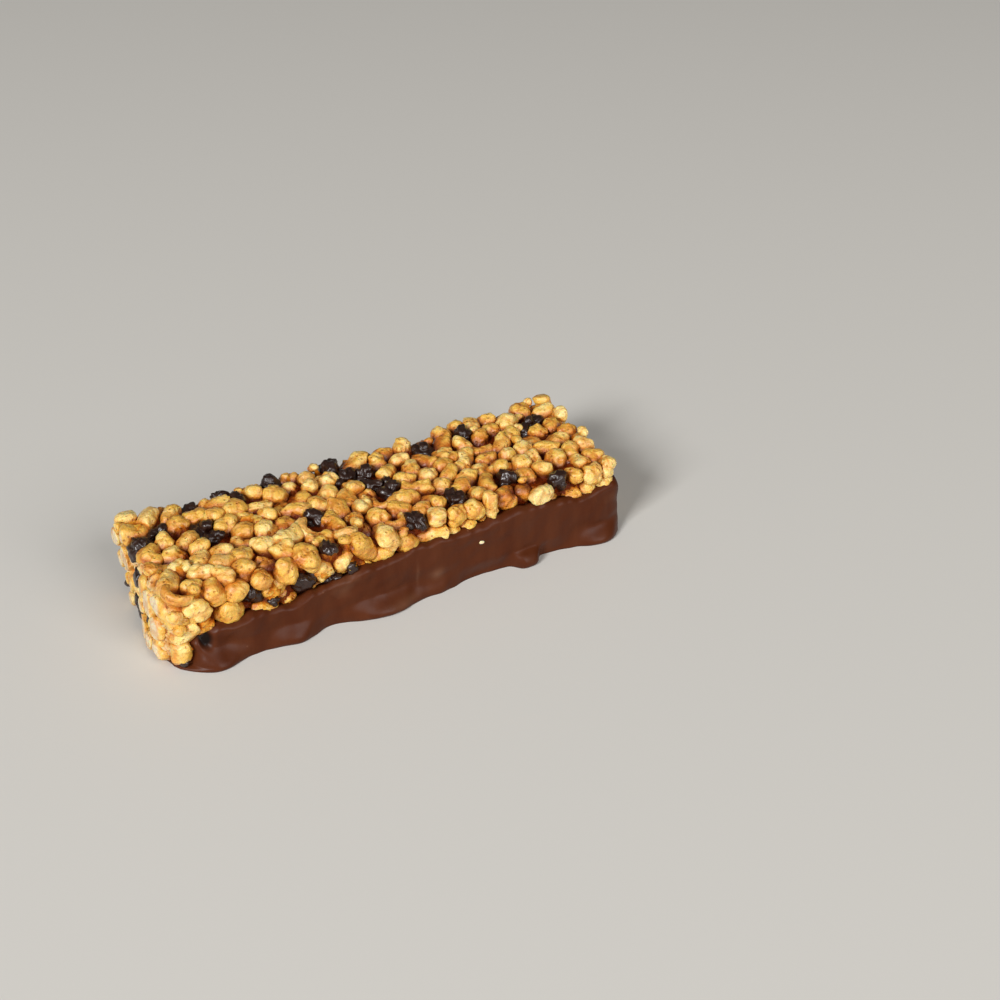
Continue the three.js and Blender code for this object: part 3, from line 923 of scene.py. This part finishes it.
def inner_slab():
    """A closed grid inside the slab's faces and its outward directions: a round-cornered
    section that widens from the middle of one end, turns round its edge, runs along the bar
    and closes over the other end."""
    reach = BAR_LENGTH / 2 - SYRUP_INSET - SYRUP_ROUND
    half_width = SLAB_HALF_WIDTH - SYRUP_INSET
    half_height = (BAR_HEIGHT - SYRUP_INSET - SYRUP_LOWEST) / 2
    loop, loop_out = rounded_section(
        half_width - SYRUP_ROUND, half_height - SYRUP_ROUND, SYRUP_ROUND, SYRUP_STEP
    )
    flat = np.linspace(FLAT_FIRST, 1, int(half_height / SYRUP_STEP) + FLAT_EXTRA)
    turn = np.linspace(np.pi / 2, 0, TURN_STEPS + 1)[1:]
    straight = np.linspace(-reach, reach, int(BAR_LENGTH / SYRUP_STEP))[1:-1]
    one = np.ones(len(flat))
    share = np.concatenate([flat, np.ones(2 * len(turn) + len(straight)), flat[::-1]])
    facing = np.concatenate([-one, -np.sin(turn), 0 * straight, np.sin(turn[::-1]), one])
    ends = np.ones(len(flat) + len(turn))
    x = np.concatenate([ends * straight[0], straight, ends * straight[-1]])
    aside = np.sqrt(1 - facing**2)[:, None]
    level = np.ones(len(loop))
    out = np.stack([facing[:, None] * level, aside * loop_out[:, 0], aside * loop_out[:, 1]], axis=-1)
    y = share[:, None] * loop[:, 0]
    z = SYRUP_LOWEST + half_height + share[:, None] * loop[:, 1]
    return np.stack([x[:, None] * level, y, z], axis=-1) + SYRUP_ROUND * out, out


def syrup_climb(points, out):
    """How far the syrup rises over points along their outward directions: a soft maximum of the pieces'
    round caps with skirts that fall away, set lower by a constant and made uneven by dust. It fills the
    cut ends and what the coat hides, stays under the chunks, and fades out below."""
    near = (is_seen | is_small) & ~is_curled
    reach = np.where(is_chunk, SYRUP_UNDER_CHUNKS, SYRUP_UNDER_PUFFS)[near] * radius[near]
    to_piece = middle[near][None] - points[:, None]
    along = np.einsum("gki,gi->gk", to_piece, out)
    aside = np.sqrt(np.maximum((to_piece**2).sum(axis=2) - along**2, 0))
    cap = np.sqrt(np.maximum(reach**2 - aside**2, 0)) - SYRUP_SKIRT * np.maximum(aside - reach, 0)
    top = np.logaddexp.reduce(SYRUP_BLEND * (along + cap), axis=1) / SYRUP_BLEND
    on_side = np.abs(out[:, 1]) > ON_SIDE
    below = at_share(SYRUP_BELOW_SKIN, between(points[:, 0], *LOOSE_ALONG)) - SIDE_CRUMB * on_side
    rise = np.clip(top - below + ripple(points, SYRUP_DUST), 0, SYRUP_CLIMB)
    crumb = SYRUP_INSET - END_CRUMB + ripple(points, END_CRUMB_WAVES)
    rise = np.maximum(rise, crumb * between(np.abs(out[:, 0]), *END_FACING))
    over_bed = (is_seen & is_chunk)[near] & (aside < CHUNK_BED[0] * radius[near])
    bed = np.where(over_bed, along + CHUNK_BED[1], np.inf).min(axis=1)
    rise = np.minimum(rise, np.maximum(bed, 0))
    side_depth = bare_depths(points + out * SYRUP_INSET, COAT_COVERS)[:, SIDE]
    rise = np.where(np.isinf(side_depth) & on_side, SYRUP_INSET - BEHIND_COAT, rise)
    return rise * (1 - between(-out[:, 2], *FADE_BELOW))


def closed_grid(rows, columns):
    """Faces of a grid that closes round its columns and is shut at its first and last row by
    one face each."""
    corner = np.arange(rows * columns).reshape(rows, columns)
    right = np.roll(corner, -1, axis=1)
    sides = np.stack([corner[:-1], right[:-1], right[1:], corner[1:]], axis=-1).reshape(-1, 4)
    return sides.tolist() + [corner[0, ::-1].tolist(), corner[-1].tolist()]


inner_points, inner_out = inner_slab()
climb = np.stack([syrup_climb(row, row_out) for row, row_out in zip(inner_points, inner_out)])
put_mesh(
    "syrup",
    inner_points + climb[..., None] * inner_out,
    closed_grid(*climb.shape),
    grain_finish("set_syrup", SYRUP_GLOSS, SYRUP_GLAZE),
    "cereal",
    tone=np.full(climb.shape, SYRUP_TONE),
    # Painted shade: the syrup darkens from golden to brown the deeper it lies.
    nook=between(SYRUP_INSET - climb, *SYRUP_SHADE),
    cut=CRUMB_CUT * between(np.abs(inner_out[..., 0]), *CUT_FACING),
)


# Milk chocolate coat: the slab was dipped, so its base and its long sides wear over a millimetre of milk
# chocolate. The edge thins out over the puffs, and below it ran down and set in lobes on the sheet.
COAT_WALL = 1.6
COAT_BASE = 1.5
COAT_STEP = 0.5
WALL_LEVELS = 40
BASE_LEVELS = 24
THINNEST = 0.1
LEFT_BASE_THINS = 0.9
END_ROUND = 5.0
END_DRAW_IN = (3.4, 2.4)
END_WAVER = (0.3, 7.0, 15)
END_WAVER_HALF = 19.0
EDGE_TAPER = 1.2
EDGE_TAPER_HEIGHT = 1.3
EDGE_CLOSE = 1.3
EDGE_CLOSE_HEIGHT = 0.25
EDGE_RAGGED = ((0.36, 6.5, 11), (0.1, 2.4, 14))
EDGE_RAGGED_HALF = 9.0
RAGGED_FADE = 6
WALL_DENTS = ((0.2, 9.0, 12), (0.05, 3.4, 13))
FOOT_HEIGHT = 4.6
FOOT_SWELL = (-0.1, 0.9)
FOOT_DRAW_IN = 1.2
FOOT_TUCK = 0.25
FOOT_TUCK_CURVE = 6
# A lobe has its place along the bar, its reach and its half width.
FOOT_LOBES = (
    (-45.6, 3.9, 7.0), (-29.3, 4.0, 5.8), (-7.7, 4.9, 9.0),
    (7.2, 1.8, 6.4), (29.5, 1.2, 4.0), (49.1, 4.4, 6.8),
)
DRIP_AT = 29.4
DRIP_REACH = 3.3
DRIP_HALF = 3.3
DRIP_HEIGHT = 3.8
DRIP_CURVES = (4, 0.7)
# A spot on the front has its place along and up and its half sizes; a pale patch has a strength too. The
# pale patches are partly bloomed chocolate and partly painted highlight where the wall catches the light.
PINHOLE = (-48.3, 6.6, 1.5, 2.4)
PINHOLE_DEPTH = 1.4
PINHOLE_RIM = (0.2, 0.8)
BLOOM_AND_HIGHLIGHT_SPOTS = ((6.1, 5.2, 1.5, 1.3, 0.55), (-2.9, 1.6, 4.2, 0.9, 0.35), (1.3, 6.4, 0.35, 2.6, 0.3))
MILK_CHOCOLATE = (0.0655, 0.0138, 0.0032)
MILK_LIGHT = (0.0900, 0.0230, 0.0068)
MILK_BLOOM_AND_HIGHLIGHT = (0.19, 0.087, 0.047)
# Painted shade: the inside of the pinhole is coloured near black.
HOLE_PAINTED_SHADE = (0.006, 0.002, 0.001)
MILK_GLOSS = 0.14
MILK_ROUGH = (0.32, 0.46)
MILK_NOISE = (900, 4)
MILK_BUMP = (0.12, 0.0003)
STREAK_NOISE = (260, 4)
STREAK_STRETCH = (1, 1, 0.18)
STREAK_PLACES = (0.3, 0.78)
CLOUD_NOISE = (90, 3)
CLOUD_PLACES = (0.64, 0.76)
CLOUD_SHARE = 0.25
SPECK_SCALE = 210
SPECK_PLACES = (0.03, 0.055)
SPECK_SHARE = 0.4
HOLE_PLACES = (0.3, 0.7)


def from_left(x, side):
    """Place along a long side: the back has the front's forms, turned end for end."""
    return np.where(side < 0, x, -x)


def foot_reach(x, side):
    """How far the foot reaches past the wall: it draws in, and each lobe adds a bell."""
    along = from_left(x, side)
    lobes = sum(reach * np.exp(-(((along - at) / half) ** 2)) for at, reach, half in FOOT_LOBES)
    return lobes - FOOT_DRAW_IN


def drip_reach(x, side, z):
    """How far a drip bulges at the foot: a flat bell along the bar, and upwards a power of one less the
    square."""
    aside = np.exp(-(((from_left(x, side) - DRIP_AT) / DRIP_HALF) ** DRIP_CURVES[0]))
    return DRIP_REACH * aside * np.clip(1 - (z / DRIP_HEIGHT) ** 2, 0, 1) ** DRIP_CURVES[1]


def bell(x, z, at, high, half_x, half_z):
    """A bell over the wall: the exponential of less the two squares, along and up, each over
    its half size."""
    return np.exp(-(((x - at) / half_x) ** 2) - ((z - high) / half_z) ** 2)


def coat_grid():
    """The coat's grid: places along the bar, and from the front edge down the wall, over the
    base and up to the back edge the side from -1 to 1, the share of the wall's height, and 1
    on a wall or 0 on the base."""
    along = np.linspace(-COAT_LENGTH / 2, COAT_LENGTH / 2, int(COAT_LENGTH / COAT_STEP))
    down = np.linspace(0, 1, WALL_LEVELS)
    across = np.linspace(-1, 1, BASE_LEVELS)[1:-1]
    wall = np.ones(WALL_LEVELS)
    flat = np.zeros(len(across))
    side = np.concatenate([-wall, across, wall])
    rise = np.concatenate([1 - down, flat, down])
    return along[:, None], side[None], rise[None], np.concatenate([wall, flat, wall])[None]


def coat_outline(along, side, rise):
    """Where the coat's grid lies along the bar and up, and how high its edge is there: the
    ends stay behind the cut and waver, and the edge is ragged, which fades down the wall as a
    power of the height."""
    half = COAT_LENGTH / 2
    x = along * (1 - end_inset(along, rise * EDGE_HEIGHT) / half)
    end_line = np.stack([x, side * END_WAVER_HALF + 0 * x, rise * EDGE_HEIGHT + 0 * x], axis=-1)
    x = x + ripple(end_line, END_WAVER) * between(np.abs(along), half - END_ROUND, half)
    edge_line = np.stack([x, side * EDGE_RAGGED_HALF + 0 * x, 0 * x], axis=-1)
    ragged = ripple(edge_line, *EDGE_RAGGED)
    edge = edge_height(x, side) + ragged
    return x, rise * (edge - ragged * (1 - rise**RAGGED_FADE)), edge


def coat_surfaces():
    """Outer and inner sheet of the coat on one grid. The walls thin towards their edge, draw in as arcs at
    the ends and swell at the foot, and a pinhole is a narrow bell pressed in. Also how deep in the hole
    and how far in a pale patch each point is; the patches are partly bloomed chocolate and partly painted
    highlight."""
    along, side, rise, on_wall = coat_grid()
    x, z, edge = coat_outline(along, side, rise)
    low = np.clip(1 - z / FOOT_HEIGHT, 0, 1)
    tuck = 1 - FOOT_TUCK * low**FOOT_TUCK_CURVE
    swell = foot_reach(x, side) * between(low, *FOOT_SWELL) * tuck + drip_reach(x, side, z) * tuck
    near_edge = np.clip(1 - (edge - z) / EDGE_TAPER_HEIGHT, 0, 1)
    near_end = np.clip(1 - (COAT_LENGTH / 2 - np.abs(along)) / END_ROUND, 0, 1)
    draw_in = np.where(along < 0, *END_DRAW_IN) * (1 - np.sqrt(1 - near_end**2))
    wall_line = np.stack([x, side * BAR_WIDTH / 2 + 0 * x, z], axis=-1)
    dents = ripple(wall_line, *WALL_DENTS) * (1 - near_edge) * on_wall
    on_front = side == -1
    hole = bell(x, z, *PINHOLE) * on_front
    # Pale patches on the front: partly bloomed chocolate, partly painted highlight.
    bloom = sum(most * bell(x, z, *patch) for *patch, most in BLOOM_AND_HIGHLIGHT_SPOTS) * on_front
    thick = COAT_WALL + swell + dents - EDGE_TAPER * near_edge**2
    thick = np.maximum(thick - PINHOLE_DEPTH * between(hole, *PINHOLE_RIM), THINNEST) - draw_in
    wall_y = BAR_WIDTH / 2 - COAT_WALL
    outer = np.stack([x, side * (wall_y + thick), z], axis=-1)
    inner_y = side * (wall_y - draw_in - EDGE_CLOSE * near_edge**2) + 0 * x
    base = np.where(along < 0, COAT_BASE - LEFT_BASE_THINS * between(near_end, 0, 1), COAT_BASE)
    inner_z = base + rise * (edge - base - EDGE_CLOSE_HEIGHT)
    return outer, np.stack([x, inner_y, inner_z], axis=-1), hole, bloom


def sheet_faces(rows, columns):
    """Faces of a closed sheet of two grids that follow each other: the outer, the inner turned round, and
    a rim of quads that joins them along all four edges."""
    count = rows * columns
    corner = np.arange(count).reshape(rows, columns)
    quads = grid_quads(corner)
    rim = np.concatenate([corner[0], corner[1:, -1], corner[-1, -2::-1], corner[-2:0:-1, 0]])
    following = np.roll(rim, -1)
    edge = np.stack([rim, following, following + count, rim + count], axis=-1)
    return np.concatenate([quads, (quads + count)[:, ::-1], edge])


def coat_finish():
    """Milk chocolate: satin brown with faint streaks down the side, pale specks, a few pale patches that
    are partly bloomed chocolate and partly painted highlight, and painted shade inside the pinhole."""
    material, tree, shader = finish_of("milk_chocolate", Specular_IOR_Level=MILK_GLOSS)
    where = object_place(tree)
    tall = node(tree, "ShaderNodeMapping", {"Vector": where, "Scale": STREAK_STRETCH}).outputs[0]
    streak = noise(tree, tall, *STREAK_NOISE)
    cloud = ramp(tree, noise(tree, where, *CLOUD_NOISE), CLOUD_PLACES, (BLACK, WHITE))
    specks = ramp(tree, dot_distance(tree, where, SPECK_SCALE), SPECK_PLACES, (WHITE, BLACK))
    hole = ramp(tree, point_value(tree, "hole"), HOLE_PLACES, (BLACK, WHITE))
    colour = ramp(tree, streak, STREAK_PLACES, (MILK_CHOCOLATE, MILK_LIGHT))
    colour = mix(tree, calculate(tree, "MULTIPLY", cloud, CLOUD_SHARE), colour, MILK_BLOOM_AND_HIGHLIGHT)
    colour = mix(tree, calculate(tree, "MULTIPLY", specks, SPECK_SHARE), colour, MILK_BLOOM_AND_HIGHLIGHT)
    # Partly painted highlight: the pale patches on the front.
    colour = mix(tree, point_value(tree, "bloom"), colour, MILK_BLOOM_AND_HIGHLIGHT)
    # Painted shade inside the pinhole.
    colour = mix(tree, hole, colour, HOLE_PAINTED_SHADE)
    set_surface(tree, shader, colour, streak, MILK_ROUGH, noise(tree, where, *MILK_NOISE), MILK_BUMP)
    return material


coat_outer, coat_inner, coat_hole, coat_bloom = coat_surfaces()
milk_coat = put_mesh(
    "milk_chocolate_coat",
    np.concatenate([coat_outer, coat_inner]),
    sheet_faces(*coat_outer.shape[:2]),
    coat_finish(),
    "milk_chocolate",
    hole=np.concatenate([coat_hole, coat_hole]),
    bloom=np.concatenate([coat_bloom, coat_bloom]),
)
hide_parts("chocolate_coat")


# Stray crumb: a broken bit of a pale puff, about a millimetre across. It fell on the front and stuck there
# while the chocolate was soft.
CRUMB_AT = (17.7, -19.2, 9.6)
CRUMB_HALF = (0.65, 0.4, 0.5)
CRUMB_NUMBER = 5

crumb_way, crumb_faces = ball(BIT_CELLS)
crumb_shape, _ = grown_together(crumb_way, np.array([CRUMB_NUMBER]), *BIT_LOBES)
crumb_points = crumb_shape[0][:, None] * crumb_way * np.array(CRUMB_HALF) + np.array(CRUMB_AT)
put_mesh(
    "stray_crumb",
    crumb_points,
    crumb_faces,
    glazed_grain,
    "cereal",
    tone=np.ones(len(crumb_points)),
    nook=np.zeros(len(crumb_points)),
    cut=np.ones(len(crumb_points)),
)


# Floor: a plain pale sheet with a dull finish that the bar lies on, wide enough that its edges stay far
# behind the bar from any side.
FLOOR_HALF = 4000.0
FLOOR_PALE = (0.66, 0.64, 0.60)
FLOOR_ROUGH = 0.7

floor_finish, _, _ = finish_of("pale_sheet", Roughness=FLOOR_ROUGH, Base_Color=(*FLOOR_PALE, 1))
floor_mesh = bpy.data.meshes.new("floor")
floor_corners = np.array([(-1, -1, 0), (1, -1, 0), (1, 1, 0), (-1, 1, 0)]) * FLOOR_HALF * MM
floor_mesh.from_pydata(floor_corners, [], [(0, 1, 2, 3)])
floor_mesh.materials.append(floor_finish)
floor = bpy.data.objects.new("floor", floor_mesh)
bpy.context.collection.objects.link(floor)


# Light: a soft lamp high at the left, a larger and weaker one at the front right, and a dim, warm room. A
# lamp is given by its place and width in metres and its power in watts.
LAMPS = {
    "key_lamp": ((-2.10, -1.08, 1.50), 0.87, 74.0),
    "fill_lamp": ((0.36, -1.80, 1.08), 1.2, 25.5),
}
ROOM_WARM = (1.0, 0.95, 0.88)
ROOM_STRENGTH = 0.12


def soft_lamp(name, position, size, power):
    """A square lamp that looks at the bar: its back is turned along the line from the origin to it."""
    data = bpy.data.lights.new(name, "AREA")
    data.size = size
    data.energy = power
    lamp = bpy.data.objects.new(name, data)
    lamp.location = position
    lamp.rotation_euler = (-Vector(position)).to_track_quat("-Z", "Y").to_euler()
    bpy.context.collection.objects.link(lamp)


for lamp_name, lamp_values in LAMPS.items():
    soft_lamp(lamp_name, *lamp_values)
room = bpy.data.worlds.new("room")
room.use_nodes = True
room_light = room.node_tree.nodes["Background"]
room_light.inputs["Color"].default_value = (*ROOM_WARM, 1)
room_light.inputs["Strength"].default_value = ROOM_STRENGTH
bpy.context.scene.world = room
bpy.context.scene.view_settings.view_transform = "Standard"


# Camera: turned and raised as the photograph's, in degrees, with the bar at the left of the frame. It
# stands back, to the right of the origin and above it, by the distances given here in millimetres.
VIEW_ANGLE = 33.0
VIEW_TURN = -29.584
VIEW_RISE = 33.496
VIEW_DISTANCE = 394.04
VIEW_ASIDE = 29.858
VIEW_ABOVE = 13.470
VIEW_NEAREST = 0.01

turn, rise = math.radians(VIEW_TURN), math.radians(VIEW_RISE)
back = Vector((math.sin(turn) * math.cos(rise), -math.cos(turn) * math.cos(rise), math.sin(rise)))
right = Vector((math.cos(turn), math.sin(turn), 0))
up = back.cross(right)
lens = bpy.data.cameras.new("camera")
lens.angle = math.radians(VIEW_ANGLE)
lens.clip_start = VIEW_NEAREST
camera = bpy.data.objects.new("camera", lens)
camera.matrix_world = Matrix((right, up, back)).transposed().to_4x4()
camera.location = (right * VIEW_ASIDE + up * VIEW_ABOVE + back * VIEW_DISTANCE) * MM
bpy.context.collection.objects.link(camera)
bpy.context.scene.camera = camera
